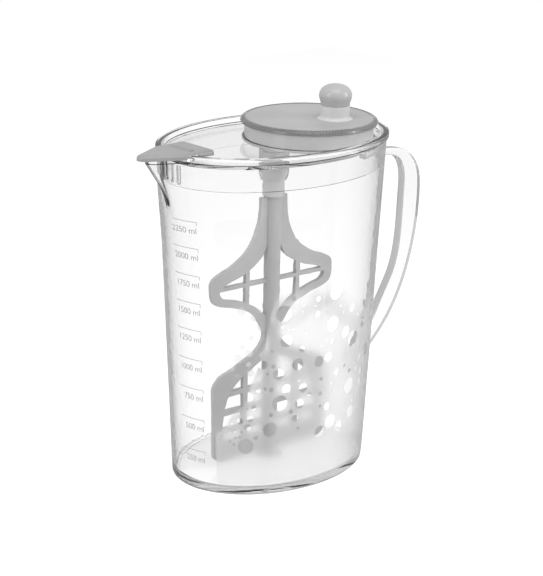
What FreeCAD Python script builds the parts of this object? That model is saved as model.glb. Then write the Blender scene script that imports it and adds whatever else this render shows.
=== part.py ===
import FreeCAD, Part
import math
import os

from FreeCAD import Vector

# A clear oval jug for mixing baby formula: a crank on the lid turns a paddle through a gear pair.
# Millimetres. +Z is up, +X points to the handle and -X to the spout, along the oval's long axis.
# The origin is on the underside, at the centre of the oval, which is also the paddle's axis.

# Jug
JUG_HEIGHT = 220.0
BASE_HALF = (70.5, 53.3)
RIM_HALF = (83.6, 58.1)
WALL = 2.4
FLOOR_TOP = 4.5
FOOT_RADIUS = 2.0
FLOOR_FILLET = 3.0
SPOUT_TIP_X = -103.7
SPOUT_TIP_RADIUS = 5.0
SPOUT_HALF_ANGLE = math.radians(26)
SPOUT_SLOPE = 0.72
SPOUT_DEPTH = 45.0
SPOUT_WALL = 2.0
SPOUT_VIEW_X = -50.0
SPOUT_SPREAD = math.radians(90)
SPOUT_BLEND = 10.0
SPOUT_SINK = 0.12
SPOUT_LOW = 145.0
SPOUT_SWELL = 0.1
SPOUT_OPENING = math.radians(0.5)
BULGE = 3.0
BULGE_FULL = 202.0
BULGE_GONE = 216.0
HANDLE_HALF_WIDTH = 3.4
HANDLE_ROUNDING = 1.3

# Lid
LID_GAP = 0.3
SKIRT_WALL = 1.8
SKIRT_BOTTOM = 202.8
PLATE_BOTTOM = 217.0
PLATE_TOP = 219.5
BEAD_TOP = 224.0
BEAD_OVERHANG = 1.4
BEAD_WIDTH = 5.7
BEAD_ROUNDING = 1.6
SLOT_WIDTH = 3.0
SLOT_BOTTOM = 204.0
SLOT_TOP = 216.0
SLOT_PITCH = 6.8
SLOT_FIRST_Y = -1.4
SLOT_COUNT = 4

# Gear pair: the crank's axis is one centre distance from the paddle's axis
GEAR_TEETH = 36
PINION_TEETH = 12
GEAR_MODULE = 1.25
PRESSURE_ANGLE = math.radians(25)
BACKLASH = 0.12
CRANK_X = GEAR_MODULE * (GEAR_TEETH + PINION_TEETH) / 2
TEETH_BOTTOM = 220.0
TEETH_TOP = 225.0

# Drum on the lid
DRUM_RADIUS = 42.0
DRUM_WALL = 1.8
DRUM_TOP = 228.1
ROOF_THICKNESS = 1.5
SPIGOT_RADIUS = 41.4
SPIGOT_BOTTOM = 215.4
DRUM_FLOOR_TOP = 217.4
DRUM_FLOOR_RADIUS = SPIGOT_RADIUS - DRUM_WALL
ROOF_BOTTOM = DRUM_TOP - ROOF_THICKNESS

# Running fits
RUNNING_GAP = 0.05
SLIP_GAP = 0.05
THRUST_GAP = 0.4

# Crank, with the hub of the drive gear and its bush
DISC_BOTTOM = DRUM_TOP + THRUST_GAP
DISC_TOP = 231.6
DISC_RADIUS = 41.5
RIM_RADIUS = 44.8
HUB_RADIUS = 13.0
BUSH_RADIUS = HUB_RADIUS + 1.6
BUSH_FLANGE = 17.0
STUB_RADIUS = 4.0
GEAR_SCREW_CIRCLE = 8.8
GEAR_SCREW_COUNT = 3
SCREW_RADIUS = 1.25
SCREW_HEAD = 2.2
SCREW_TIP = DISC_BOTTOM + 1.8

# Knob
KNOB_RADIUS = 16.7
KNOB_ANGLE = math.radians(-50)
KNOB_SCREW = 2.0
KNOB_BORE = KNOB_SCREW + RUNNING_GAP
KNOB_HEAD = 3.2
KNOB_SEAT = DISC_BOTTOM + 2.0
KNOB_SCREW_TIP = 249.0
STEM_RADIUS = 9.5
STEM_FOOT = 11.6
STEM_TOP = 240.5
CAP_BOTTOM = STEM_TOP + 0.2
KNOB_TOP = 254.0

# Paddle
PADDLE_TURN = -3.7
ROD_RADIUS = 5.35
COLLAR_RADIUS = 7.2
COLLAR_BOTTOM = 184.0
COLLAR_TOP = 211.6
BLADE_THICKNESS = 3.0
TUBE_RADIUS = 9.7
TUBE_BOTTOM = 195.3
JOURNAL_RADIUS = 5.5
PINION_HEX = 6.5
SOCKET_HEX = 8.0
HEX_BOTTOM = 200.0
FOOT_BOTTOM = 4.8
ROD_BOTTOM = 8.0
ROD_TOP = 198.0
ROD_BORE = 3.8
PLUG_TOP = ROD_BOTTOM + 8.0

# Flap over the spout
PIVOT_X = -76.0
PIVOT_Z = 222.8
FLAP_TOP = 226.0
FLAP_THICKNESS = 1.4
FLAP_HALF_WIDTH = 15.5
FLAP_HALF_ANGLE = math.radians(26.5)
FLAP_TIP_X = -110.0
FLAP_TIP_RADIUS = 4.8
FLAP_SHOULDER_RADIUS = 10.0
FLAP_CORNER_RADIUS = 3.0
FLAP_REAR_X = -62.0
FLAP_EDGE = 222.7
FLAP_ROUNDING = 2.0
FLAP_WALL = 1.5
FLAP_NOTCH = (-84.0, -74.9)
BARREL_RADIUS = 2.0
BARREL_HALF_LENGTH = 8.2
RIDGE_RADIUS = 2.6
RIDGE_HEIGHT = 0.8
RIDGE_HALF_LENGTH = 9.6
PIN_RADIUS = 1.0
PIN_HALF_LENGTH = 11.0

CUT_MARGIN = 1.0
ORIGIN = (0.0, 0.0)
CRANK_CENTRE = (CRANK_X, 0.0)
KNOB_CENTRE = (
    CRANK_X + KNOB_RADIUS * math.cos(KNOB_ANGLE),
    KNOB_RADIUS * math.sin(KNOB_ANGLE),
)
UP = Vector(0, 0, 1)


# Shapes used by several pieces
def half_axes(z, inset):
    share = z / JUG_HEIGHT
    return [low + (high - low) * share - inset for low, high in zip(BASE_HALF, RIM_HALF)]


def oval(half_length, half_width, z):
    return Part.Wire([Part.Ellipse(Vector(0, 0, z), half_length, half_width).toShape()])


def oval_frustum(z_low, z_high, inset):
    sections = [oval(*half_axes(z, inset), z) for z in (z_low, z_high)]
    return Part.makeLoft(sections, True, True)


def oval_prism(offset, z_low, z_high):
    face = Part.Face(oval(RIM_HALF[0] + offset, RIM_HALF[1] + offset, z_low))
    return face.extrude(UP * (z_high - z_low))


def cylinder(radius, z_low, z_high, centre=ORIGIN):
    return Part.makeCylinder(radius, z_high - z_low, Vector(*centre, z_low))


def ring(outer, inner, z_low, z_high, centre=ORIGIN):
    bore = cylinder(inner, z_low - CUT_MARGIN, z_high + CUT_MARGIN, centre)
    return cylinder(outer, z_low, z_high, centre).cut(bore)


def box(low, high):
    size = [b - a for a, b in zip(low, high)]
    return Part.makeBox(*size, Vector(*low))


def hexagon(across_flats, z_low, z_high):
    reach = across_flats / math.sqrt(3)
    corners = [
        Vector(reach * math.cos(k * math.pi / 3), reach * math.sin(k * math.pi / 3), z_low)
        for k in range(7)
    ]
    return Part.Face(Part.makePolygon(corners)).extrude(UP * (z_high - z_low))


def turned(edges, centre=ORIGIN):
    face = Part.Face(Part.Wire(edges))
    face.translate(Vector(*centre, 0))
    return face.revolve(Vector(*centre, 0), UP, 360)


def line(a, b):
    return Part.makeLine(a, b)


def arc(a, through, b):
    return Part.Arc(a, through, b).toShape()


def curve(points):
    spline = Part.BSplineCurve()
    spline.interpolate(points)
    return spline.toShape()


def fused(first, *others):
    return first.multiFuse(list(others)).removeSplitter()


def edges_at(shape, z, smallest=0.0):
    return [
        e for e in shape.Edges
        if abs(e.BoundBox.ZMin - z) < 1e-4 and abs(e.BoundBox.ZMax - z) < 1e-4
        and e.Length > smallest
    ]


# Jug: one clear moulding with a tapering oval wall, a thick floor and a V-shaped lip
# The lip and the wall are measured outwards from a line inside the jug, and the larger reach is taken
def wall_reach(angle, z, inset):
    half_length, half_width = half_axes(z, inset)
    square = (math.cos(angle) / half_length) ** 2 + (math.sin(angle) / half_width) ** 2
    linear = -SPOUT_VIEW_X * math.cos(angle) / half_length ** 2
    rest = (SPOUT_VIEW_X / half_length) ** 2 - 1
    return (math.sqrt(linear ** 2 - square * rest) - linear) / square


def lip_reach(angle, z, inset):
    below_rim = min(JUG_HEIGHT - z, SPOUT_DEPTH)
    tip_radius = SPOUT_TIP_RADIUS + SPOUT_SWELL * below_rim
    half_angle = SPOUT_HALF_ANGLE + SPOUT_OPENING * below_rim
    tip_centre = SPOUT_TIP_X + SPOUT_SLOPE * below_rim + tip_radius
    away = SPOUT_VIEW_X - tip_centre
    radius = tip_radius - inset
    sine = math.sin(half_angle)
    round_end = math.atan2(radius * math.cos(half_angle), away + radius * sine)
    if angle < round_end:
        return away * math.cos(angle) + math.sqrt(radius ** 2 - (away * math.sin(angle)) ** 2)
    return (away * sine + radius) / math.sin(half_angle + angle)


# The wall swells out softly below the lip, most in the middle and just under the lid
def bulge(angle, z):
    rising = eased((z - SPOUT_LOW) / (BULGE_FULL - SPOUT_LOW))
    fading = eased((z - BULGE_FULL) / (BULGE_GONE - BULGE_FULL))
    return BULGE * rising * (1 - fading) * (1 - (angle / SPOUT_SPREAD) ** 2) ** 3


def eased(share):
    share = min(max(share, 0), 1)
    return share * share * (3 - 2 * share)


# One level of the lip, which grows rounder and wider downwards: a soft hollow joins it to the wall,
# and its ends sink just below the wall's face
def lip_section(z, wall_inset, lip_inset):
    steps = 24
    points = []
    for k in range(-steps, steps + 1):
        angle = SPOUT_SPREAD * (abs(k) / steps) ** 1.6
        wall = wall_reach(angle, z, wall_inset + SPOUT_SINK) + bulge(angle, z)
        lip = lip_reach(angle, z, lip_inset)
        closeness = max(1 - abs(lip - wall) / SPOUT_BLEND, 0)
        reach = max(lip, wall) + closeness ** 3 * SPOUT_BLEND / 6
        side = math.copysign(1, k)
        points.append(Vector(SPOUT_VIEW_X - reach * math.cos(angle), side * reach * math.sin(angle), z))
    front = Part.BSplineCurve()
    front.interpolate(Points=points, Parameters=[float(k) for k in range(len(points))])
    return Part.Wire([front.toShape(), line(points[-1], points[0])])


def lip_solid(top, wall_inset, lip_inset):
    levels = 20
    heights = [SPOUT_LOW + (top - SPOUT_LOW) * k / levels for k in range(levels + 1)]
    return Part.makeLoft([lip_section(z, wall_inset, lip_inset) for z in heights], True, False)


def make_jug_body():
    outside = oval_frustum(0, JUG_HEIGHT, 0)
    outside = outside.makeFillet(FOOT_RADIUS, edges_at(outside, 0))
    inside = oval_frustum(FLOOR_TOP, JUG_HEIGHT + CUT_MARGIN, WALL)
    inside = inside.makeFillet(FLOOR_FILLET, edges_at(inside, FLOOR_TOP))
    lip = lip_solid(JUG_HEIGHT, 0, 0)
    channel = lip_solid(JUG_HEIGHT + CUT_MARGIN, WALL, SPOUT_WALL)
    shell = outside.fuse(lip).cut(inside.fuse(channel))
    boss = ring(8.0, 5.7, FLOOR_TOP - CUT_MARGIN, 7.5)
    return fused(shell, boss)


# Handle: a flat loop in the plane of the long axis, thicker across than it is wide
def make_jug_handle():
    outer = [
        (76.0, 201.2), (90.0, 201.4), (102.5, 201.1), (119.3, 197.2), (131.4, 184.4), (134.3, 165.6),
        (131.0, 134.2), (120.8, 101.7), (105.2, 76.5), (91.6, 62.6), (66.0, 38.0),
    ]
    inner = [
        (60.0, 46.0), (82.0, 68.0), (94.9, 86.0), (102.5, 99.0), (110.8, 114.0), (115.0, 129.0),
        (117.8, 168.0), (117.0, 184.0), (111.5, 193.0), (102.0, 196.0), (90.0, 196.4), (76.0, 196.2),
    ]
    side = -HANDLE_HALF_WIDTH
    outer = [Vector(x, side, z) for x, z in outer]
    inner = [Vector(x, side, z) for x, z in inner]
    outline = [
        curve(outer),
        line(outer[-1], inner[0]),
        curve(inner),
        line(inner[-1], outer[0]),
    ]
    loop = Part.Face(Part.Wire(outline)).extrude(Vector(0, 2 * HANDLE_HALF_WIDTH, 0))
    long_edges = [e for e in loop.Edges if e.Length > 100]
    loop = loop.makeFillet(HANDLE_ROUNDING, long_edges)
    return loop.cut(oval_frustum(0, JUG_HEIGHT, 0))


# Lid: a recessed plate in a rounded bead, with a deep skirt that is slotted at the spout end
def make_lid_shell():
    core = oval_frustum(SKIRT_BOTTOM, JUG_HEIGHT, WALL + LID_GAP)
    bead = oval_prism(BEAD_OVERHANG, JUG_HEIGHT, BEAD_TOP)
    bead = bead.makeFillet(BEAD_ROUNDING, edges_at(bead, BEAD_TOP))
    recess = oval_prism(BEAD_OVERHANG - BEAD_WIDTH, PLATE_TOP, BEAD_TOP + CUT_MARGIN)
    hollow = oval_frustum(SKIRT_BOTTOM - CUT_MARGIN, PLATE_BOTTOM, WALL + LID_GAP + SKIRT_WALL)
    drum_hole = cylinder(SPIGOT_RADIUS, PLATE_BOTTOM - CUT_MARGIN, PLATE_TOP + CUT_MARGIN, CRANK_CENTRE)
    shell = core.fuse(bead).cut(recess).cut(hollow.fuse(drum_hole))
    slots = [strainer_slot(SLOT_FIRST_Y + k * SLOT_PITCH) for k in range(SLOT_COUNT)]
    shell = shell.cut(slots)
    return fused(shell, pin_lug(1), pin_lug(-1))


def strainer_slot(y):
    half = SLOT_WIDTH / 2
    reach = (-RIM_HALF[0], -RIM_HALF[0] / 2)
    upper = box((reach[0], y - half, SLOT_BOTTOM + half), (reach[1], y + half, SLOT_TOP))
    foot_start = Vector(reach[0], y, SLOT_BOTTOM + half)
    foot = Part.makeCylinder(half, reach[1] - reach[0], foot_start, Vector(1, 0, 0))
    return upper.fuse(foot)


def pin_lug(side):
    inner_y = BARREL_HALF_LENGTH + LID_GAP
    low_y = min(side * inner_y, side * PIN_HALF_LENGTH)
    length = PIN_HALF_LENGTH - inner_y
    radius = PIN_RADIUS + 0.5
    block = box((PIVOT_X - radius, low_y, PLATE_TOP - 0.5), (PIVOT_X + radius, low_y + length, PIVOT_Z))
    start = Vector(PIVOT_X, low_y, PIVOT_Z)
    along = Vector(0, 1, 0)
    top = Part.makeCylinder(radius, length, start, along)
    return block.fuse(top).cut(Part.makeCylinder(PIN_RADIUS, length, start, along))


# Drum: the round housing of the gears, dropped into the lid and closed from below
def make_gear_drum():
    wall = ring(DRUM_RADIUS, DRUM_RADIUS - DRUM_WALL, PLATE_TOP, DRUM_TOP, CRANK_CENTRE)
    roof = ring(DRUM_RADIUS, BUSH_RADIUS, ROOF_BOTTOM, DRUM_TOP, CRANK_CENTRE)
    spigot = ring(SPIGOT_RADIUS, DRUM_FLOOR_RADIUS, SPIGOT_BOTTOM, PLATE_TOP + DRUM_WALL, CRANK_CENTRE)
    upper_bearing = ring(5.0, 3.0 + RUNNING_GAP, TEETH_TOP + THRUST_GAP, ROOF_BOTTOM + 0.5)
    return fused(wall, roof, spigot, upper_bearing)


# Bush: a flanged sleeve in the drum's roof, in which the hub of the drive gear runs
def make_crank_bush():
    bore = HUB_RADIUS + RUNNING_GAP
    sleeve = ring(BUSH_RADIUS, bore, ROOF_BOTTOM, DRUM_TOP, CRANK_CENTRE)
    flange = ring(BUSH_FLANGE, bore, TEETH_TOP + THRUST_GAP, ROOF_BOTTOM, CRANK_CENTRE)
    return fused(sleeve, flange)


# Ring: snaps round the drum below the lid's plate and holds it down
def make_drum_ring():
    return ring(SPIGOT_RADIUS + 2.1, SPIGOT_RADIUS, SPIGOT_BOTTOM, PLATE_BOTTOM, CRANK_CENTRE)


# Drum floor: closes the drum from below, with a stub that steadies the drive gear
def make_drum_floor():
    plate = cylinder(DRUM_FLOOR_RADIUS, SPIGOT_BOTTOM, DRUM_FLOOR_TOP, CRANK_CENTRE)
    shoulder = cylinder(7.0, DRUM_FLOOR_TOP, TEETH_BOTTOM - 0.1, CRANK_CENTRE)
    stub = cylinder(STUB_RADIUS, DRUM_FLOOR_TOP, TEETH_BOTTOM + 2.4, CRANK_CENTRE)
    hole = cylinder(JOURNAL_RADIUS + RUNNING_GAP, SPIGOT_BOTTOM - CUT_MARGIN, DRUM_FLOOR_TOP + CUT_MARGIN)
    return fused(plate, shoulder, stub).cut(hole)


# Guide tube: hangs from the drum floor and steadies the paddle's collar
def make_guide_tube():
    bore = COLLAR_RADIUS + RUNNING_GAP
    points = [
        (bore, TUBE_BOTTOM), (8.4, TUBE_BOTTOM), (TUBE_RADIUS, TUBE_BOTTOM + 4.0),
        (TUBE_RADIUS, SPIGOT_BOTTOM - 2.0), (TUBE_RADIUS + 0.9, SPIGOT_BOTTOM), (bore, SPIGOT_BOTTOM),
    ]
    return turned_polygon(points)


def turned_polygon(points, centre=ORIGIN):
    corners = [Vector(r, 0, z) for r, z in points]
    return turned(Part.makePolygon(corners + corners[:1]).Edges, centre)


def make_hub_seal():
    return ring(COLLAR_RADIUS, JOURNAL_RADIUS + RUNNING_GAP, SPIGOT_BOTTOM - 2.6, SPIGOT_BOTTOM)


# Gears: involute teeth, thinned a little for backlash
def gear_outline(teeth, phase):
    pitch = GEAR_MODULE * teeth / 2
    tip = pitch + GEAR_MODULE
    root = pitch - 1.25 * GEAR_MODULE
    base = pitch * math.cos(PRESSURE_ANGLE)

    def involute(radius):
        angle = math.acos(min(1.0, base / radius))
        return math.tan(angle) - angle

    def half_angle(radius):
        return (math.pi * GEAR_MODULE / 2 - BACKLASH) / (2 * pitch) + involute(pitch) - involute(radius)

    def point(radius, angle):
        return Vector(radius * math.cos(angle), radius * math.sin(angle), 0)

    start = max(base, root)
    radii = [start + (tip - start) * k / 4 for k in range(5)]
    step = 2 * math.pi / teeth
    edges = []
    for k in range(teeth):
        middle = phase + k * step
        rising = [point(r, middle - half_angle(r)) for r in radii]
        falling = [point(r, middle + half_angle(r)) for r in reversed(radii)]
        foot_half = half_angle(start)
        feet = [point(root, middle - foot_half), point(root, middle + foot_half)]
        next_foot = point(root, middle + step - foot_half)
        if start > root:
            edges.append(line(feet[0], rising[0]))
        edges.append(curve(rising))
        edges.append(arc(rising[-1], point(tip, middle), falling[0]))
        edges.append(curve(falling))
        if start > root:
            edges.append(line(falling[-1], feet[1]))
        edges.append(arc(feet[1], point(root, middle + step / 2), next_foot))
    return Part.Wire(edges)


def toothed_disc(teeth, phase, centre):
    face = Part.Face(gear_outline(teeth, phase))
    face.translate(Vector(*centre, TEETH_BOTTOM))
    return face.extrude(UP * (TEETH_TOP - TEETH_BOTTOM))


def gear_screw_centres():
    angles = [2 * math.pi * k / GEAR_SCREW_COUNT for k in range(GEAR_SCREW_COUNT)]
    return [(CRANK_X + GEAR_SCREW_CIRCLE * math.cos(a), GEAR_SCREW_CIRCLE * math.sin(a)) for a in angles]


def make_drive_gear():
    half_pitch = math.pi / GEAR_TEETH
    disc = toothed_disc(GEAR_TEETH, half_pitch, CRANK_CENTRE)
    hub = cylinder(HUB_RADIUS, TEETH_TOP - CUT_MARGIN, DISC_BOTTOM, CRANK_CENTRE)
    groove = ring(19.0, 15.0, TEETH_TOP - 1.5, TEETH_TOP + CUT_MARGIN, CRANK_CENTRE)
    bore = cylinder(STUB_RADIUS + RUNNING_GAP, TEETH_BOTTOM - CUT_MARGIN, TEETH_BOTTOM + 3.0, CRANK_CENTRE)
    gear = disc.cut(groove).fuse(hub).cut(bore)
    for centre in gear_screw_centres():
        gear = gear.cut(cylinder(SCREW_RADIUS + SLIP_GAP, TEETH_BOTTOM, DISC_BOTTOM + CUT_MARGIN, centre))
        gear = gear.cut(cylinder(SCREW_HEAD + 0.2, TEETH_BOTTOM - CUT_MARGIN, TEETH_BOTTOM + 2.0, centre))
    return gear.removeSplitter()


# Three identical screws hold the drive gear to the crank disc from below
def make_gear_screws():
    screws = []
    for centre in gear_screw_centres():
        head = cylinder(SCREW_HEAD, TEETH_BOTTOM + 0.3, TEETH_BOTTOM + 2.0, centre)
        shank = cylinder(SCREW_RADIUS, TEETH_BOTTOM + 2.0, SCREW_TIP, centre)
        recess = cylinder(0.8, TEETH_BOTTOM, TEETH_BOTTOM + 1.2, centre)
        screws.append(fused(head, shank).cut(recess))
    return Part.makeCompound(screws)


def make_drive_pinion():
    bore = hexagon(PINION_HEX + 2 * SLIP_GAP, TEETH_BOTTOM - CUT_MARGIN, TEETH_TOP + CUT_MARGIN)
    return toothed_disc(PINION_TEETH, 0, ORIGIN).cut(bore)


# Drive shaft: carries the pinion on one hexagon and drives the paddle with the other
def make_drive_shaft():
    stub = cylinder(3.0, TEETH_TOP - CUT_MARGIN, TEETH_TOP + 1.4)
    carrier = hexagon(PINION_HEX, TEETH_BOTTOM - CUT_MARGIN, TEETH_TOP)
    shoulder = cylinder(7.0, DRUM_FLOOR_TOP + 0.2, TEETH_BOTTOM)
    journal = cylinder(JOURNAL_RADIUS, COLLAR_TOP + 0.2, DRUM_FLOOR_TOP + 0.4)
    driver = hexagon(SOCKET_HEX, HEX_BOTTOM, COLLAR_TOP + 0.4)
    return fused(stub, carrier, shoulder, journal, driver)


# Crank: a disc with a clear rounded rim, and a stem that carries the knob
def make_crank_disc():
    disc = cylinder(DISC_RADIUS, DISC_BOTTOM, DISC_TOP, CRANK_CENTRE)
    for centre in gear_screw_centres():
        disc = disc.cut(cylinder(SCREW_RADIUS, DISC_BOTTOM - CUT_MARGIN, SCREW_TIP + 0.2, centre))
    disc = disc.cut(cylinder(KNOB_BORE, DISC_BOTTOM - CUT_MARGIN, DISC_TOP + CUT_MARGIN, KNOB_CENTRE))
    return disc.cut(cylinder(KNOB_HEAD + 0.1, DISC_BOTTOM - CUT_MARGIN, KNOB_SEAT, KNOB_CENTRE))


def make_crank_rim():
    lip = DISC_TOP + 0.3
    corners = [
        Vector(DISC_RADIUS, 0, DISC_BOTTOM),
        Vector(DISC_RADIUS, 0, lip),
        Vector(DISC_RADIUS + 0.8, 0, lip),
        Vector(RIM_RADIUS, 0, DISC_BOTTOM + 1.0),
        Vector(RIM_RADIUS - 0.5, 0, DISC_BOTTOM),
    ]
    bulge = Vector(RIM_RADIUS - 0.75, 0, DISC_BOTTOM + 2.55)
    outline = [
        line(corners[0], corners[1]),
        line(corners[1], corners[2]),
        arc(corners[2], bulge, corners[3]),
        line(corners[3], corners[4]),
        line(corners[4], corners[0]),
    ]
    return turned(outline, CRANK_CENTRE)


# Knob: a stem fixed on the disc, and a mushroom cap that spins on it with its screw
def make_knob_stem():
    foot_rise = STEM_FOOT - STEM_RADIUS
    corners = [
        Vector(KNOB_BORE, 0, DISC_TOP),
        Vector(STEM_FOOT, 0, DISC_TOP),
        Vector(STEM_RADIUS, 0, DISC_TOP + foot_rise),
        Vector(STEM_RADIUS, 0, STEM_TOP),
        Vector(KNOB_BORE, 0, STEM_TOP),
    ]
    hollow = Vector(STEM_RADIUS + 0.3 * foot_rise, 0, DISC_TOP + 0.3 * foot_rise)
    outline = [
        line(corners[0], corners[1]),
        arc(corners[1], hollow, corners[2]),
        line(corners[2], corners[3]),
        line(corners[3], corners[4]),
        line(corners[4], corners[0]),
    ]
    return turned(outline, KNOB_CENTRE)


def make_knob_cap():
    profile = [(9.4, 0.0), (9.8, 2.0), (10.7, 5.6), (9.6, 9.6), (6.2, 12.3)]
    side = [Vector(r, 0, CAP_BOTTOM + rise) for r, rise in profile] + [Vector(0, 0, KNOB_TOP)]
    outline = [
        line(Vector(0, 0, CAP_BOTTOM), side[0]),
        curve(side),
        line(side[-1], Vector(0, 0, CAP_BOTTOM)),
    ]
    cap = turned(outline, KNOB_CENTRE)
    return cap.cut(cylinder(KNOB_SCREW, CAP_BOTTOM - CUT_MARGIN, KNOB_SCREW_TIP, KNOB_CENTRE))


def make_knob_screw():
    head = cylinder(KNOB_HEAD, DISC_BOTTOM + 0.2, KNOB_SEAT - 0.2, KNOB_CENTRE)
    shank = cylinder(KNOB_SCREW, KNOB_SEAT - 0.2, KNOB_SCREW_TIP, KNOB_CENTRE)
    recess = cylinder(1.0, DISC_BOTTOM, DISC_BOTTOM + 1.1, KNOB_CENTRE)
    return fused(head, shank).cut(recess)


# Paddle: a collar that plugs onto the drive shaft, a tube down to the floor, and a flat open frame
def make_paddle_collar():
    points = [
        (0, COLLAR_BOTTOM), (COLLAR_RADIUS - 0.6, COLLAR_BOTTOM), (COLLAR_RADIUS, COLLAR_BOTTOM + 0.6),
        (COLLAR_RADIUS, COLLAR_TOP), (0, COLLAR_TOP),
    ]
    collar = turned_polygon(points)
    socket = hexagon(SOCKET_HEX + 2 * SLIP_GAP, HEX_BOTTOM - 0.5, COLLAR_TOP + CUT_MARGIN)
    seat = cylinder(ROD_RADIUS, COLLAR_BOTTOM - CUT_MARGIN, ROD_TOP)
    return collar.cut(socket).cut(seat)


# Rod: a tube, slotted where the blade is pushed through it
def make_paddle_rod():
    return ring(ROD_RADIUS, ROD_BORE, ROD_BOTTOM, ROD_TOP).cut(make_paddle_blade())


def make_paddle_foot():
    tip_radius = 2.0
    corners = [
        Vector(0, 0, FOOT_BOTTOM),
        Vector(ROD_RADIUS - tip_radius, 0, FOOT_BOTTOM),
        Vector(ROD_RADIUS, 0, FOOT_BOTTOM + tip_radius),
        Vector(ROD_RADIUS, 0, ROD_BOTTOM),
        Vector(ROD_BORE, 0, ROD_BOTTOM),
        Vector(ROD_BORE, 0, PLUG_TOP),
        Vector(0, 0, PLUG_TOP),
    ]
    slope = tip_radius * math.sqrt(0.5)
    round_point = Vector(ROD_RADIUS - tip_radius + slope, 0, FOOT_BOTTOM + tip_radius - slope)
    outline = [line(corners[0], corners[1]), arc(corners[1], round_point, corners[2])]
    outline += [line(corners[k], corners[k + 1]) for k in range(2, 6)]
    outline.append(line(corners[6], corners[0]))
    return turned(outline)


def blade_solid(edges):
    face = Part.Face(Part.Wire(edges))
    return face.extrude(Vector(0, BLADE_THICKNESS, 0))


def on_blade(u, z):
    return Vector(u, -BLADE_THICKNESS / 2, z)


def mirrored(shape):
    return shape.mirror(Vector(0, 0, 0), Vector(1, 0, 0))


def make_paddle_blade():
    flare = [
        (10.5, 184.0), (10.8, 175.0), (12.1, 167.2), (14.7, 159.6), (18.3, 153.4), (23.0, 148.2),
        (28.6, 144.4), (34.2, 141.3), (44.5, 137.4), (49.0, 133.8), (49.8, 127.0), (47.6, 119.3),
        (42.0, 116.2), (33.7, 114.2), (25.6, 111.3), (19.0, 108.4), (14.0, 104.6), (9.6, 98.0),
        (6.7, 91.0), (8.4, 85.2), (13.4, 80.2), (23.3, 75.0), (34.5, 70.1), (43.0, 66.6),
        (47.0, 60.0), (47.1, 52.5), (46.7, 34.0), (46.2, 16.0),
    ]
    corner = (44.2, 10.4)
    bottom = 8.5
    toe = 40.0
    outline = [
        line(on_blade(0, 184.0), on_blade(*flare[0])),
        curve([on_blade(u, z) for u, z in flare]),
        arc(on_blade(*flare[-1]), on_blade(*corner), on_blade(toe, bottom)),
        line(on_blade(toe, bottom), on_blade(0, bottom)),
        line(on_blade(0, bottom), on_blade(0, 184.0)),
    ]
    half = blade_solid(outline)
    windows = upper_window().fuse(lower_window())
    half = half.cut(windows)
    blade = fused(half, mirrored(half)).cut(cylinder(ROD_BORE, 0, PLUG_TOP))
    blade.rotate(Vector(0, 0, 0), UP, PADDLE_TURN)
    return blade


def upper_window():
    rim = [
        (0.0, 163.0), (4.0, 157.0), (5.8, 151.0), (8.3, 145.7), (13.1, 141.1), (19.5, 136.8),
        (27.6, 133.4), (39.6, 129.5), (43.1, 126.2), (40.8, 121.8), (33.8, 119.3), (21.6, 115.4),
        (14.1, 111.2), (6.0, 104.5), (0.0, 101.0),
    ]
    points = [on_blade(u, z) for u, z in rim]
    window = blade_solid([curve(points), line(points[-1], points[0])])
    return window.cut(bar((0, 60), (126.3, 128.9))).cut(bar((19.25, 22.35), (80, 180)))


def lower_window():
    inner_leg = [
        (0.0, 76.5), (6.6, 73.6), (19.2, 67.1), (26.0, 63.2), (32.4, 56.8), (35.8, 51.5), (37.9, 44.0),
        (39.2, 36.0), (39.6, 28.0),
    ]
    corner = (38.6, 23.6)
    sill = 22.0
    outline = [
        curve([on_blade(u, z) for u, z in inner_leg]),
        arc(on_blade(*inner_leg[-1]), on_blade(*corner), on_blade(34.5, sill)),
        line(on_blade(34.5, sill), on_blade(0, sill)),
        line(on_blade(0, sill), on_blade(*inner_leg[0])),
    ]
    window = blade_solid(outline)
    for middle in (54.8, 42.0, 29.8):
        window = window.cut(bar((0, 60), (middle - 1.8, middle + 1.8)))
    return window.cut(bar((19.5, 23.1), (0, 100)))


def bar(across, height):
    deep = BLADE_THICKNESS
    return box((across[0], -deep, height[0]), (across[1], deep, height[1]))


# Flap: a grey cover that rocks on a pin above the lid and closes the spout
def make_spout_flap():
    under = FLAP_TOP - FLAP_THICKNESS
    shell = flap_outline(0, FLAP_EDGE, FLAP_TOP)
    shell = shell.makeFillet(FLAP_ROUNDING, edges_at(shell, FLAP_TOP))
    hollow = flap_outline(FLAP_WALL, FLAP_EDGE - CUT_MARGIN, under)
    wide = 2 * FLAP_HALF_WIDTH
    notch = box((FLAP_NOTCH[0], -wide, FLAP_EDGE - CUT_MARGIN), (FLAP_NOTCH[1], wide, under))
    shell = shell.cut(hollow).cut(notch)
    along = Vector(0, 1, 0)
    length = 2 * BARREL_HALF_LENGTH
    axis_start = Vector(PIVOT_X, -BARREL_HALF_LENGTH, PIVOT_Z)
    barrel = Part.makeCylinder(BARREL_RADIUS, length, axis_start, along)
    web = box((PIVOT_X - 1.2, -BARREL_HALF_LENGTH, PIVOT_Z), (PIVOT_X + 1.2, BARREL_HALF_LENGTH, under))
    ridge_start = Vector(PIVOT_X, -RIDGE_HALF_LENGTH, FLAP_TOP + RIDGE_HEIGHT - RIDGE_RADIUS)
    ridge = Part.makeCylinder(RIDGE_RADIUS, 2 * RIDGE_HALF_LENGTH, ridge_start, along)
    ridge = ridge.cut(box((PIVOT_X - wide, -wide, PIVOT_Z - wide), (PIVOT_X + wide, wide, under)))
    bore = Part.makeCylinder(PIN_RADIUS + RUNNING_GAP, length, axis_start, along)
    return fused(shell, barrel, web, ridge).cut(bore)


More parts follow.
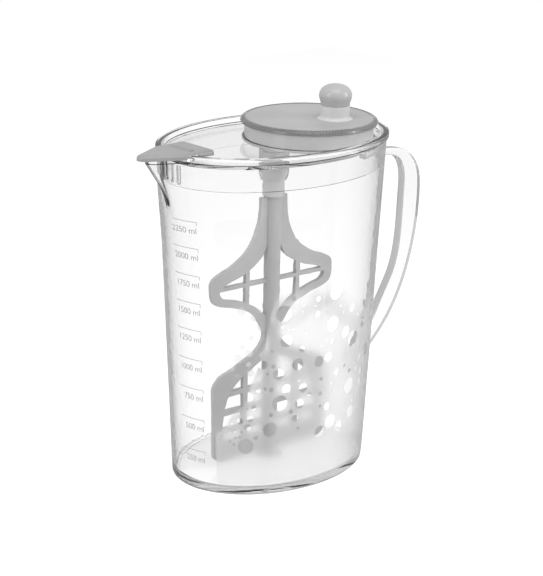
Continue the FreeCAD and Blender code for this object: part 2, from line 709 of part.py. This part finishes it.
# Plan of the flap: a round tip, straight sides, soft shoulders and a square rear with round corners
def flap_outline(inset, z_low, z_high):
    def point(x, y):
        return Vector(x, y, z_low)

    half = FLAP_HALF_WIDTH - inset
    rear = FLAP_REAR_X - inset
    tip_radius = FLAP_TIP_RADIUS - inset
    shoulder_radius = FLAP_SHOULDER_RADIUS - inset
    corner_radius = FLAP_CORNER_RADIUS - inset
    sine = math.sin(FLAP_HALF_ANGLE)
    cosine = math.cos(FLAP_HALF_ANGLE)
    nose = point(FLAP_TIP_X + FLAP_TIP_RADIUS - tip_radius * sine, tip_radius * cosine)
    shoulder_x = nose.x + (half - nose.y) * cosine / sine
    setback = shoulder_radius * math.tan(FLAP_HALF_ANGLE / 2)
    shoulder_start = point(shoulder_x - setback * cosine, half - setback * sine)
    shoulder_end = point(shoulder_x + setback, half)
    shoulder_bend = point(
        shoulder_end.x - shoulder_radius * math.sin(FLAP_HALF_ANGLE / 2),
        half - shoulder_radius * (1 - math.cos(FLAP_HALF_ANGLE / 2)),
    )
    corner_bend = corner_radius * (1 - math.sqrt(0.5))
    corner_start = point(rear - corner_radius, half)
    corner_end = point(rear, half - corner_radius)
    half_edges = [
        line(nose, shoulder_start),
        arc(shoulder_start, shoulder_bend, shoulder_end),
        line(shoulder_end, corner_start),
        arc(corner_start, point(rear - corner_bend, half - corner_bend), corner_end),
    ]
    other = [e.mirror(Vector(0, 0, 0), Vector(0, 1, 0)) for e in half_edges]
    tip_arc = arc(nose, point(FLAP_TIP_X + inset, 0), point(nose.x, -nose.y))
    rear_line = line(corner_end, point(rear, -corner_end.y))
    wire = Part.Wire(Part.__sortEdges__(half_edges + [tip_arc] + other + [rear_line]))
    return Part.Face(wire).extrude(UP * (z_high - z_low))


def make_flap_pin():
    start = Vector(PIVOT_X, -PIN_HALF_LENGTH, PIVOT_Z)
    return Part.makeCylinder(PIN_RADIUS, 2 * PIN_HALF_LENGTH, start, Vector(0, 1, 0))


PIECES = {
    "jug_body": make_jug_body,
    "jug_handle": make_jug_handle,
    "lid_shell": make_lid_shell,
    "gear_drum": make_gear_drum,
    "crank_bush": make_crank_bush,
    "drum_ring": make_drum_ring,
    "drum_floor": make_drum_floor,
    "guide_tube": make_guide_tube,
    "hub_seal": make_hub_seal,
    "flap_pin": make_flap_pin,
    "crank_disc": make_crank_disc,
    "crank_rim": make_crank_rim,
    "drive_gear": make_drive_gear,
    "gear_screws": make_gear_screws,
    "knob_stem": make_knob_stem,
    "knob_cap": make_knob_cap,
    "knob_screw": make_knob_screw,
    "drive_pinion": make_drive_pinion,
    "drive_shaft": make_drive_shaft,
    "paddle_collar": make_paddle_collar,
    "paddle_rod": make_paddle_rod,
    "paddle_blade": make_paddle_blade,
    "paddle_foot": make_paddle_foot,
    "spout_flap": make_spout_flap,
}

os.makedirs("parts", exist_ok=True)
for name, make in PIECES.items():
    shape = make()
    if not shape.isValid() or not shape.Solids:
        raise ValueError(name + " is not a valid solid")
    shape.exportStep("parts/" + name + ".step")
    print(name, len(shape.Solids), round(shape.Volume / 1000, 2), "cm3")
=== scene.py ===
import math
import random
from bisect import bisect

import bpy
from mathutils import Matrix, Vector
from mathutils.bvhtree import BVHTree
from mathutils.geometry import delaunay_2d_cdt


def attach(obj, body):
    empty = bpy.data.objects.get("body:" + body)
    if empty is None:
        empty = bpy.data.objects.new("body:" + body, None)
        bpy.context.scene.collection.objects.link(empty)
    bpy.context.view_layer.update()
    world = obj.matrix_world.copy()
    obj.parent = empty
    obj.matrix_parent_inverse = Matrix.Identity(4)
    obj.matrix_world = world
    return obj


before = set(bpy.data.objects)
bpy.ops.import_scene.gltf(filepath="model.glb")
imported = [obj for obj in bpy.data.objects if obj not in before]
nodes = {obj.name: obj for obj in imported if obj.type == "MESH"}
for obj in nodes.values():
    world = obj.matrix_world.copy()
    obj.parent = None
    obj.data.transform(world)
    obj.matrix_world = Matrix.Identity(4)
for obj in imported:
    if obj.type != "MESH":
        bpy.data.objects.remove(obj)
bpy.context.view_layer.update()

# Camera
# It stands off the spout's near side, a little above the lid, with a long lens.
# It is turned slightly about its own line of sight, so that the jug leans as it does in the picture.
AIM = Vector((0, 0, 0.1224))
AIM_SHIFT = (-0.000136, 0.00133)
STAND_OFF = 1.2174
VIEW_TURN = math.radians(42.129)
VIEW_DROP = math.radians(17.724)
CAMERA_LEAN = math.radians(1.208)
LENS = 116.08
SENSOR_WIDTH = 36

level = Vector((math.sin(VIEW_TURN), math.cos(VIEW_TURN), 0))
across = Vector((math.cos(VIEW_TURN), -math.sin(VIEW_TURN), 0))
forward = level * math.cos(VIEW_DROP) - Vector((0, 0, math.sin(VIEW_DROP)))
upward = across.cross(forward)
camera = bpy.data.objects.new("camera", bpy.data.cameras.new("camera"))
camera.data.lens = LENS
camera.data.sensor_width = SENSOR_WIDTH
turn = Matrix((across, upward, -forward)).transposed().to_4x4()
place = AIM - forward * STAND_OFF - across * AIM_SHIFT[0] - upward * AIM_SHIFT[1]
camera.matrix_world = Matrix.Translation(place) @ turn @ Matrix.Rotation(CAMERA_LEAN, 4, "Z")
bpy.context.scene.collection.objects.link(camera)
bpy.context.scene.camera = camera


# Studio
# A white floor under a white backdrop. What looks straight at them, or through clear plastic, sees white.
# Mirror reflections see a darker floor, which draws the clear walls' outlines, and a less dark room above it.
PLAIN_LEVEL = 0.56
FLOOR_DARKENING = 0.60
ROOM_DARKENING = 0.28
MIRROR_RECOVERY = 0.45
FLOOR_LIFT = 0.43
FLOOR_WHITE = 0.82
FLOOR_SIZE = 2.2
FLOOR_DROP = 0.0002


def shader(tree, kind, inputs=(), **settings):
    made = tree.nodes.new("ShaderNode" + kind)
    for key, value in settings.items():
        setattr(made, key, value)
    for key, value in dict(inputs).items():
        if isinstance(value, bpy.types.NodeSocket):
            tree.links.new(value, made.inputs[key])
        else:
            made.inputs[key].default_value = value
    return made


def reckoned(tree, operation, *values):
    return shader(tree, "Math", enumerate(values), operation=operation).outputs[0]


def even_colour(tree, value):
    return shader(tree, "CombineColor", {0: value, 1: value, 2: value}).outputs[0]


def blended(tree, share, first, second):
    mix = shader(tree, "Mix", {0: share, 6: first, 7: second}, data_type="RGBA")
    return mix.outputs[2]


def grey(value):
    return (value, value, value, 1)


def emptied(tree):
    tree.nodes.clear()
    return tree


def add_mesh(name, verts, faces):
    mesh = bpy.data.meshes.new(name)
    mesh.from_pydata(verts, [], faces)
    mesh.update()
    made = bpy.data.objects.new(name, mesh)
    bpy.context.scene.collection.objects.link(made)
    return made


scene = bpy.context.scene
scene.view_settings.view_transform = "Standard"
scene.cycles.max_bounces = 32
scene.cycles.transmission_bounces = 28
scene.cycles.glossy_bounces = 24
scene.cycles.transparent_max_bounces = 32
world = bpy.data.worlds.new("studio")
scene.world = world
world.use_nodes = True


def room_seen(tree, darkening):
    """How white the room is for this ray, and whether a camera or a mirror-like surface looks at it.

    One or two reflections see a darker room; light that runs on inside a thick clear floor comes out pale."""
    ray = shader(tree, "LightPath").outputs
    depth = ray["Glossy Depth"]
    past_first = reckoned(tree, "SUBTRACT", 1.0, depth)
    fading = reckoned(tree, "EXPONENT", reckoned(tree, "MULTIPLY", past_first, MIRROR_RECOVERY))
    taken = reckoned(tree, "MULTIPLY", reckoned(tree, "MULTIPLY", depth, darkening), fading)
    white = reckoned(tree, "SUBTRACT", 1.0, taken)
    looks = reckoned(tree, "MAXIMUM", ray["Is Camera Ray"], ray["Is Glossy Ray"])
    return white, looks


tree = emptied(world.node_tree)
white, looks = room_seen(tree, ROOM_DARKENING)
colour = blended(tree, looks, grey(PLAIN_LEVEL), even_colour(tree, white))
sky = shader(tree, "Background", {"Color": colour})
tree.links.new(sky.outputs[0], shader(tree, "OutputWorld").inputs["Surface"])

reach = FLOOR_SIZE / 2
corners = [(-reach, -reach), (reach, -reach), (reach, reach), (-reach, reach)]
floor = add_mesh("floor", [(x, y, -FLOOR_DROP) for x, y in corners], [(0, 1, 2, 3)])
floor_paint = bpy.data.materials.new("floor_paint")
floor_paint.use_nodes = True
floor_paint.cycles.emission_sampling = "NONE"
tree = emptied(floor_paint.node_tree)
white, looks = room_seen(tree, FLOOR_DARKENING)
shade = reckoned(tree, "MULTIPLY", white, FLOOR_WHITE)
paint = shader(tree, "BsdfDiffuse", {"Color": even_colour(tree, shade)})
boost = reckoned(tree, "MULTIPLY", reckoned(tree, "MULTIPLY", looks, white), FLOOR_LIFT)
lift = shader(tree, "Emission", {"Color": grey(1.0), "Strength": boost})
both = shader(tree, "AddShader", {0: paint.outputs[0], 1: lift.outputs[0]})
tree.links.new(both.outputs[0], shader(tree, "OutputMaterial").inputs["Surface"])
floor.data.materials.append(floor_paint)


def soft_lamp(name, place, aim, size, watts):
    lamp = bpy.data.lights.new(name, "AREA")
    lamp.shape = "RECTANGLE"
    lamp.size, lamp.size_y = size
    lamp.energy = watts
    made = bpy.data.objects.new(name, lamp)
    made.visible_camera = False
    made.visible_transmission = False
    facing = (Vector(place) - Vector(aim)).to_track_quat("Z", "Y").to_matrix().to_4x4()
    made.matrix_world = Matrix.Translation(place) @ facing
    bpy.context.scene.collection.objects.link(made)


soft_lamp("lamp_over", (-0.3, -0.4, 1.6), aim=(0, 0, 0.1), size=(1.2, 1.2), watts=9)
soft_lamp("lamp_left", (-1.3, 0.1, 0.7), aim=(0, 0, 0.12), size=(0.5, 1.0), watts=5)
soft_lamp("lamp_right", (0.9, -1.1, 0.6), aim=(0, 0, 0.12), size=(0.4, 0.9), watts=7)


# Finish of the moulded plastics
# Nearly every piece is injection moulded. Its skin has a faint unevenness from the mould, and its gloss
# varies a little from place to place. The clear pieces come from polished moulds and are far smoother.
GRAINS = 900.0
SATIN_RELIEF = 0.00002
POLISHED_RELIEF = 0.0000005
CLEAR_TINT = (0.55, 0.56, 0.57, 1)
CLEAR_IOR = 1.49


def new_group(name, inputs, outputs):
    group = bpy.data.node_groups.new(name, "ShaderNodeTree")
    for label, kind in inputs:
        group.interface.new_socket(name=label, in_out="INPUT", socket_type="NodeSocket" + kind)
    for label, kind in outputs:
        group.interface.new_socket(name=label, in_out="OUTPUT", socket_type="NodeSocket" + kind)
    entry = group.nodes.new("NodeGroupInput").outputs
    leave = group.nodes.new("NodeGroupOutput").inputs
    return group, entry, leave


moulded_skin, entry, leave = new_group(
    "moulded_skin",
    [("Colour", "Color"), ("Shade", "Color"), ("Patches", "Float"), ("Grains", "Float"),
     ("Shiny", "Float"), ("Dull", "Float")],
    [("Colour", "Color"), ("Roughness", "Float"), ("Height", "Float")],
)
spot = shader(moulded_skin, "TexCoord").outputs["Object"]
patch = shader(moulded_skin, "TexNoise", {"Vector": spot, "Scale": entry["Patches"], "Detail": 3.0})
grain = shader(moulded_skin, "TexNoise", {"Vector": spot, "Scale": entry["Grains"], "Detail": 1.0})
share = shader(moulded_skin, "MapRange", {"Value": patch.outputs["Fac"], "From Min": 0.35, "From Max": 0.65})
tint = blended(moulded_skin, share.outputs[0], entry["Colour"], entry["Shade"])
gloss = shader(
    moulded_skin, "MapRange",
    {
        "Value": patch.outputs["Fac"], "From Min": 0.3, "From Max": 0.7,
        "To Min": entry["Shiny"], "To Max": entry["Dull"],
    },
)
moulded_skin.links.new(tint, leave["Colour"])
moulded_skin.links.new(gloss.outputs[0], leave["Roughness"])
moulded_skin.links.new(grain.outputs["Fac"], leave["Height"])


def plastic(name, colour, shade, shiny, dull, patches=25.0, relief=SATIN_RELIEF, **fixed):
    """A plastic whose colour and gloss wander between two values each, over a fine relief."""
    made = bpy.data.materials.new(name)
    made.use_nodes = True
    tree = made.node_tree
    body = tree.nodes["Principled BSDF"]
    skin = shader(tree, "Group", node_tree=moulded_skin)
    values = [("Colour", colour), ("Shade", shade), ("Patches", patches), ("Grains", GRAINS)]
    for key, value in values + [("Shiny", shiny), ("Dull", dull)]:
        skin.inputs[key].default_value = value
    skin = skin.outputs
    bump = shader(tree, "Bump", {"Height": skin["Height"], "Distance": relief, "Strength": 1.0})
    tree.links.new(skin["Colour"], body.inputs["Base Color"])
    tree.links.new(skin["Roughness"], body.inputs["Roughness"])
    tree.links.new(bump.outputs[0], body.inputs["Normal"])
    for key, value in fixed.items():
        body.inputs[key.replace("_", " ")].default_value = value
    return made


def pass_light(made, share):
    """The piece lets this share of the lamps' light through to what lies behind it."""
    tree = made.node_tree
    ray = shader(tree, "LightPath").outputs
    passed = shader(tree, "BsdfTransparent", {"Color": grey(share)})
    body = tree.nodes["Principled BSDF"].outputs[0]
    mix = shader(tree, "MixShader", {0: ray["Is Shadow Ray"], 1: body, 2: passed.outputs[0]})
    tree.links.new(mix.outputs[0], tree.nodes["Material Output"].inputs["Surface"])


def darken_outline(made, outline_shade, narrow):
    """Where a clear piece turns away from the eye, grey is painted into its colour: painted shade that stands
    in for the darkening of its long light path through the plastic.
    """
    tree = made.node_tree
    body = tree.nodes["Principled BSDF"]
    facing = shader(tree, "LayerWeight", {"Blend": 0.5}).outputs["Facing"]
    turned = reckoned(tree, "POWER", facing, narrow)
    colour = body.inputs["Base Color"].links[0].from_socket
    tree.links.new(blended(tree, turned, colour, grey(outline_shade)), body.inputs["Base Color"])


def clear_plastic(name, shiny, dull, taken, passed, colour=grey(1.0), clear=1.0, bends=CLEAR_IOR):
    """A see-through plastic. Its depth takes up some light, and it passes a share of the lamps' light."""
    made = plastic(
        name, colour, colour, shiny, dull, relief=POLISHED_RELIEF, Transmission_Weight=clear, IOR=bends,
    )
    pass_light(made, passed)
    if taken > 0:
        tree = made.node_tree
        depth = shader(tree, "VolumeAbsorption", {"Color": CLEAR_TINT, "Density": taken})
        tree.links.new(depth.outputs[0], tree.nodes["Material Output"].inputs["Volume"])
    return made


def dress(finish, *names):
    for name in names:
        nodes[name].data.materials.clear()
        nodes[name].data.materials.append(finish)


# Jug
# One clear moulding: an oval wall that widens upwards, a thick floor and a soft V-shaped lip.
# The loop handle is moulded on in one with it.
jug_clear = clear_plastic("jug_clear", shiny=0.0, dull=0.004, taken=4.0, passed=0.97, colour=grey(0.983))
# Painted shade: the jug's outlines are painted a little darker.
darken_outline(jug_clear, outline_shade=0.84, narrow=3.0)
dress(jug_clear, "jug_body")
handle_clear = clear_plastic("handle_clear", shiny=0.0, dull=0.004, taken=4.0, passed=0.97)
# Painted shade: the handle's outlines are painted nearly black.
darken_outline(handle_clear, outline_shade=0.02, narrow=1.8)
dress(handle_clear, "jug_handle")

# Volume marks
# Nine fine lines pad-printed on the wall below the lip, each with a short tick down at its end.
# The amount stands below each line, set against the same end, in the same light grey ink.
MARK_HEIGHTS = {
    250: 0.0280, 500: 0.0500, 750: 0.0708, 1000: 0.0909, 1250: 0.1109, 1500: 0.1291, 1750: 0.1473,
    2000: 0.1655, 2250: 0.1831,
}
WALL_HEIGHT = 0.220
WALL_FOOT = (0.0705, 0.0533)
WALL_RIM = (0.0836, 0.0581)
LINE_START = -0.0020
TOP_LINE_SHORTER = 0.002
LINE_END = 0.0172
LINE_HALF_WIDTH = 0.00017
LINE_STEPS = 12
TICK_LENGTH = 0.0023
NUMBER_DROP = 0.0080
NUMBER_SIZE = 0.0057
DIGIT_SHARE = 0.72
THINNED_SHARE = 0.006
NUMBER_SPACING = 0.97
INK_LOW = 0.00004
INK_HIGH = 0.00009
CAST_FROM = 0.02
CURVE_STEPS = 720

wall_mesh = nodes["jug_body"].data
wall_faces = [p.vertices for p in wall_mesh.polygons]
jug_surface = BVHTree.FromPolygons([v.co for v in wall_mesh.vertices], wall_faces)


def half_oval(z):
    return [low + (high - low) * z / WALL_HEIGHT for low, high in zip(WALL_FOOT, WALL_RIM)]


def measure_round_the_wall():
    """Distances along the wall's middle oval, from the spout to the handle, at even steps of its angle."""
    long_half, short_half = half_oval(WALL_HEIGHT / 2)
    step = math.pi / CURVE_STEPS
    walked = [0.0]
    for k in range(CURVE_STEPS):
        angle = step * (k + 0.5)
        pace = math.hypot(long_half * math.sin(angle), short_half * math.cos(angle))
        walked.append(walked[-1] + step * pace)
    return walked


round_the_wall = measure_round_the_wall()


def wall_point(along, z, lift):
    """A point on the wall, at a distance along from the spout, a height, and a lift off the surface."""
    k = min(max(bisect(round_the_wall, abs(along)) - 1, 0), CURVE_STEPS - 1)
    part = (abs(along) - round_the_wall[k]) / (round_the_wall[k + 1] - round_the_wall[k])
    angle = math.copysign(math.pi * (k + part) / CURVE_STEPS, along)
    long_half, short_half = half_oval(z)
    outward = Vector((-math.cos(angle) / long_half, -math.sin(angle) / short_half, 0)).normalized()
    foot = Vector((-long_half * math.cos(angle), -short_half * math.sin(angle), z))
    return foot + outward * lift, outward


def on_the_jug(along, z, lift):
    """As wall_point, on the moulding itself, so that it also follows the swelling of the lip."""
    start, outward = wall_point(along, z, CAST_FROM)
    hit = jug_surface.ray_cast(start, -outward)[0]
    return hit + outward * lift


def on_the_wall(along, z, lift):
    return wall_point(along, z, lift)[0]


def wrapped(name, flat, faces, place, low, high):
    """A thin closed skin on the wall, from a flat drawing: x is the distance along, y the height."""
    count = len(flat)
    verts = [place(s, z, high) for s, z in flat] + [place(s, z, low) for s, z in flat]
    skins = [tuple(f) for f in faces] + [tuple(i + count for i in reversed(f)) for f in faces]
    used = {(f[k - 1], f[k]) for f in faces for k in range(len(f))}
    sides = [(j, i, i + count, j + count) for i, j in used if (j, i) not in used]
    return add_mesh(name, verts, skins + sorted(sides))


def strip(start, end, steps):
    """A fine line between two points of the flat drawing, as a row of small rectangles."""
    run = Vector(end) - Vector(start)
    side = Vector((-run.y, run.x)).normalized() * LINE_HALF_WIDTH
    points = []
    for k in range(steps + 1):
        middle = Vector(start) + run * k / steps
        points += [middle + side, middle - side]
    faces = [(2 * k, 2 * k + 1, 2 * k + 3, 2 * k + 2) for k in range(steps)]
    return points, faces


def number_drawing(words, right, top):
    """Flat letters whose right end and top are at the given place, thinned to the print's fine strokes."""
    letters = bpy.data.curves.new("letters", "FONT")
    letters.body = words
    letters.size = NUMBER_SIZE
    letters.align_x = "RIGHT"
    letters.resolution_u = 4
    letters.offset = -NUMBER_SIZE * THINNED_SHARE
    letters.space_character = NUMBER_SPACING
    holder = bpy.data.objects.new("letters", letters)
    flat = bpy.data.meshes.new_from_object(holder)
    tall = max(v.co.y for v in flat.vertices)
    points = [Vector((v.co.x + right, v.co.y + top - tall)) for v in flat.vertices]
    faces = [tuple(p.vertices) for p in flat.polygons]
    bpy.data.objects.remove(holder)
    bpy.data.curves.remove(letters)
    bpy.data.meshes.remove(flat)
    return points, faces


ink_grey = plastic("ink_grey", grey(0.30), grey(0.36), shiny=0.35, dull=0.5, patches=400.0)
for amount, height in MARK_HEIGHTS.items():
    start = LINE_START + (TOP_LINE_SHORTER if amount == max(MARK_HEIGHTS) else 0)
    drawings = [
        strip((start, height), (LINE_END, height), LINE_STEPS),
        strip((LINE_END, height), (LINE_END, height - TICK_LENGTH), 1),
        number_drawing(str(amount) + " ml", LINE_END, height - NUMBER_DROP + NUMBER_SIZE * DIGIT_SHARE),
    ]
    points = []
    faces = []
    for more_points, more_faces in drawings:
        faces += [tuple(i + len(points) for i in f) for f in more_faces]
        points += more_points
    mark = wrapped("volume_mark_" + str(amount), points, faces, on_the_jug, INK_LOW, INK_HIGH)
    mark.data.materials.append(ink_grey)
    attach(mark, "jug")

# Frosted print
# A translucent white print on the near side of the wall, from a straight edge beside the marks round to
# the handle. Round windows of many sizes are left clear in it, and it fades out towards its top.
# A few faint dots stand above its low end.
PRINT_START = 0.0255
PRINT_END = 0.190
PRINT_FOOT = 0.0065
PRINT_LOW = 0.00010
PRINT_HIGH = 0.00022
PRINT_TOP = 0.044
PRINT_RISES = [(0.016, 0.026, 0.040), (0.032, 0.040, 0.056), (0.052, 0.052, 0.068), (-0.020, 0.100, 0.135)]
FADE_DEPTH = 0.008
FADE_RISES = [(0.026, 0.045, 0.075)]
GRID_ALONG = 0.003
GRID_UP = 0.004
PRINT_SEED = 23
WINDOW_COUNT = 120
WINDOW_TRIES = 4000
WINDOW_SMALLEST = 0.0007
WINDOW_SPREAD = 0.0050
FAVOUR_SMALL = 2.0
FAVOUR_NEAR = 1.4
FAVOUR_HIGH = 1.2
WINDOW_INSETS = (0.008, 0.012)
WINDOW_BAND_FOOT = 0.040
WINDOW_BAND_DROP = 0.006
WINDOW_LOWEST = 0.028
WINDOW_TO_TOP = 0.002
SPOT_GAP = 0.0009
SPOT_SIDES = 26
DOT_COUNT = 16
DOT_TRIES = 400
DOT_SIZES = (0.0012, 0.0034)
DOTS_ALONG = (0.036, 0.056)
DOTS_UP = (0.082, 0.128)
DOT_COVER = 0.22
MERGE_WITHIN = 1e-7
TOP_SLACK = 1e-5


def eased(value, low, high):
    share = min(max((value - low) / (high - low), 0), 1)
    return share * share * (3 - 2 * share)


def raised(level, rises, along):
    """A level that changes along the wall. A rise gives its height, and where it starts and ends."""
    return level + sum(rise * eased(along, start, end) for rise, start, end in rises)


def print_top(along):
    """Where the print has faded out: low beside the marks, then a rise, and a little lower round the side."""
    return raised(PRINT_TOP, PRINT_RISES, along)


def print_cover(along, z):
    top = print_top(along)
    return 1 - eased(z, top - raised(FADE_DEPTH, FADE_RISES, along), top)


def free_spot(spots, along, z, radius):
    return all(math.hypot(along - s, z - h) > radius + r + SPOT_GAP for s, h, r in spots)


seeded = random.Random(PRINT_SEED)
windows = []
for attempt in range(WINDOW_TRIES):
    if len(windows) == WINDOW_COUNT:
        break
    radius = WINDOW_SMALLEST + WINDOW_SPREAD * seeded.random() ** FAVOUR_SMALL
    room = PRINT_END - PRINT_START - sum(WINDOW_INSETS)
    along = PRINT_START + WINDOW_INSETS[0] + room * seeded.random() ** FAVOUR_NEAR
    below = seeded.random() ** FAVOUR_HIGH
    top = print_top(along)
    z = top - WINDOW_BAND_DROP - below * (top - WINDOW_BAND_FOOT)
    inside = z - radius > WINDOW_LOWEST and z + radius < top - WINDOW_TO_TOP
    if inside and free_spot(windows, along, z, radius):
        windows.append((along, z, radius))


def round_outline(along, z, radius):
    turns = [2 * math.pi * k / SPOT_SIDES for k in range(SPOT_SIDES)]
    return [Vector((along + radius * math.cos(a), z + radius * math.sin(a))) for a in turns]


def print_drawing():
    """The flat drawing of the print: its outline, the round windows, and a grid that lets it bend."""
    columns = int((PRINT_END - PRINT_START) / GRID_ALONG) + 1
    across = [PRINT_START + k * GRID_ALONG for k in range(columns)]
    outline = [Vector((s, PRINT_FOOT)) for s in across]
    outline += [Vector((s, print_top(s))) for s in reversed(across)]
    points = list(outline)
    edges = [(k, (k + 1) % len(outline)) for k in range(len(outline))]
    for along, z, radius in windows:
        first = len(points)
        points += round_outline(along, z, radius)
        edges += [(first + k, first + (k + 1) % SPOT_SIDES) for k in range(SPOT_SIDES)]
    for s in across:
        z = PRINT_FOOT + GRID_UP
        while z < print_top(s) - GRID_UP / 2:
            if free_spot(windows, s, z, 0.0):
                points.append(Vector((s, z)))
            z += GRID_UP
    joined, _, pieces, *_ = delaunay_2d_cdt(points, edges, [], 0, MERGE_WITHIN)
    kept = []
    for face in pieces:
        middle = sum((joined[i] for i in face), Vector((0, 0))) / len(face)
        clear = any(math.hypot(middle.x - s, middle.y - h) < r for s, h, r in windows)
        if not clear and middle.y < print_top(middle.x) - TOP_SLACK:
            kept.append(tuple(face))
    return list(joined), kept


drawing, faces = print_drawing()
cover = [print_cover(s, z) for s, z in drawing]
dots = []
for attempt in range(DOT_TRIES):
    radius = seeded.uniform(*DOT_SIZES)
    along = seeded.uniform(*DOTS_ALONG)
    z = seeded.uniform(*DOTS_UP)
    if len(dots) < DOT_COUNT and free_spot(dots, along, z, radius):
        dots.append((along, z, radius))
        first = len(drawing)
        drawing += round_outline(along, z, radius)
        faces.append(tuple(range(first, first + SPOT_SIDES)))
        cover += [DOT_COVER] * SPOT_SIDES
frosted_print = wrapped("frosted_print", drawing, faces, on_the_wall, PRINT_LOW, PRINT_HIGH)
share = frosted_print.data.attributes.new("cover", "FLOAT", "POINT")
share.data.foreach_set("value", cover + cover)
print_frosted = clear_plastic(
    "print_frosted", shiny=0.20, dull=0.26, taken=0.0, passed=0.88, clear=0.88, bends=1.4,
)
tree = print_frosted.node_tree
covered = shader(tree, "Attribute", attribute_name="cover")
tree.links.new(covered.outputs["Fac"], tree.nodes["Principled BSDF"].inputs["Alpha"])
frosted_print.data.materials.append(print_frosted)
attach(frosted_print, "jug")

# Lid
# A clear moulding like the jug: a sunk plate in a rounded bead, with a deep skirt slotted at the spout's
# end. Its index is set lower than the jug's, which keeps the outlines of its bead fine.
# A thin clear ring snaps round the drum below the plate and holds it down.
lid_clear = clear_plastic("lid_clear", shiny=0.0, dull=0.01, taken=1.5, passed=0.98, bends=1.36)
dress(lid_clear, "lid_shell", "drum_ring")

# Drum
# The round housing of the gears, moulded in translucent plastic and closed from below by its floor.
# The guide tube hangs from the floor, and holds the soft seal and the top of the paddle.
# The gears, the bush and the drive shaft are of waxy white plastic, the pin and the screws of bright steel.
drum_frosted = plastic(
    "drum_frosted", grey(0.82), grey(0.74), shiny=0.14, dull=0.24,
    Transmission_Weight=0.35, IOR=CLEAR_IOR, Coat_Weight=0.6,
)
pass_light(drum_frosted, share=0.6)
dress(drum_frosted, "gear_drum", "drum_floor")
tube_clear = clear_plastic("tube_clear", shiny=0.05, dull=0.10, taken=0.5, passed=0.98, clear=0.96)
dress(tube_clear, "guide_tube")
gear_white = plastic("gear_white", grey(0.78), grey(0.72), shiny=0.35, dull=0.5)
dress(gear_white, "crank_bush", "drive_gear", "drive_pinion", "drive_shaft")
seal_soft = plastic("seal_soft", grey(0.7), grey(0.64), shiny=0.6, dull=0.75)
dress(seal_soft, "hub_seal")
steel_bright = plastic("steel_bright", grey(0.6), grey(0.5), shiny=0.2, dull=0.35, Metallic=1.0)
dress(steel_bright, "flap_pin", "gear_screws", "knob_screw")

# Crank
# A satin grey disc in a clear rim with a rounded flank.
# It turns on the drum, together with the gear that is screwed to it from below.
rim_clear = clear_plastic("rim_clear", shiny=0.10, dull=0.14, taken=240.0, passed=0.85)
dress(rim_clear, "crank_rim")
disc_grey = plastic("disc_grey", grey(0.46), grey(0.42), shiny=0.25, dull=0.38)
dress(disc_grey, "crank_disc")

# Knob
# A stem fixed on the disc, and a mushroom cap, both moulded of a like grey. The stem is painted lighter than
# the cap, as painted light.
# The cap spins on the stem, together with the screw that holds it from below.
# Painted light: the stem's grey is set lighter than the cap's.
stem_painted_light = plastic("stem_painted_light", grey(0.70), grey(0.65), shiny=0.22, dull=0.34)
dress(stem_painted_light, "knob_stem")
cap_grey = plastic("cap_grey", grey(0.50), grey(0.46), shiny=0.18, dull=0.28)
dress(cap_grey, "knob_cap")

# Paddle
# Satin grey mouldings: a tube down to the floor, a flat open frame pushed through it, and a round foot.
# The collar at the top is of the same plastic, painted a little lighter as painted light against the shade of
# the drum above it, and is pushed onto the drive shaft.
paddle_grey = plastic("paddle_grey", grey(0.43), grey(0.38), shiny=0.26, dull=0.40)
dress(paddle_grey, "paddle_rod", "paddle_blade", "paddle_foot")
# Painted light: the collar's grey is set lighter than the paddle's, against the shade from above.
collar_painted_light = plastic("collar_painted_light", grey(0.52), grey(0.47), shiny=0.26, dull=0.40)
dress(collar_painted_light, "paddle_collar")

# Flap
# A hollow satin grey moulding with rounded edges, which covers the lip.
# It rocks on a steel pin between two lugs of the lid.
flap_grey = plastic("flap_grey", grey(0.34), grey(0.30), shiny=0.26, dull=0.38)
dress(flap_grey, "spout_flap")
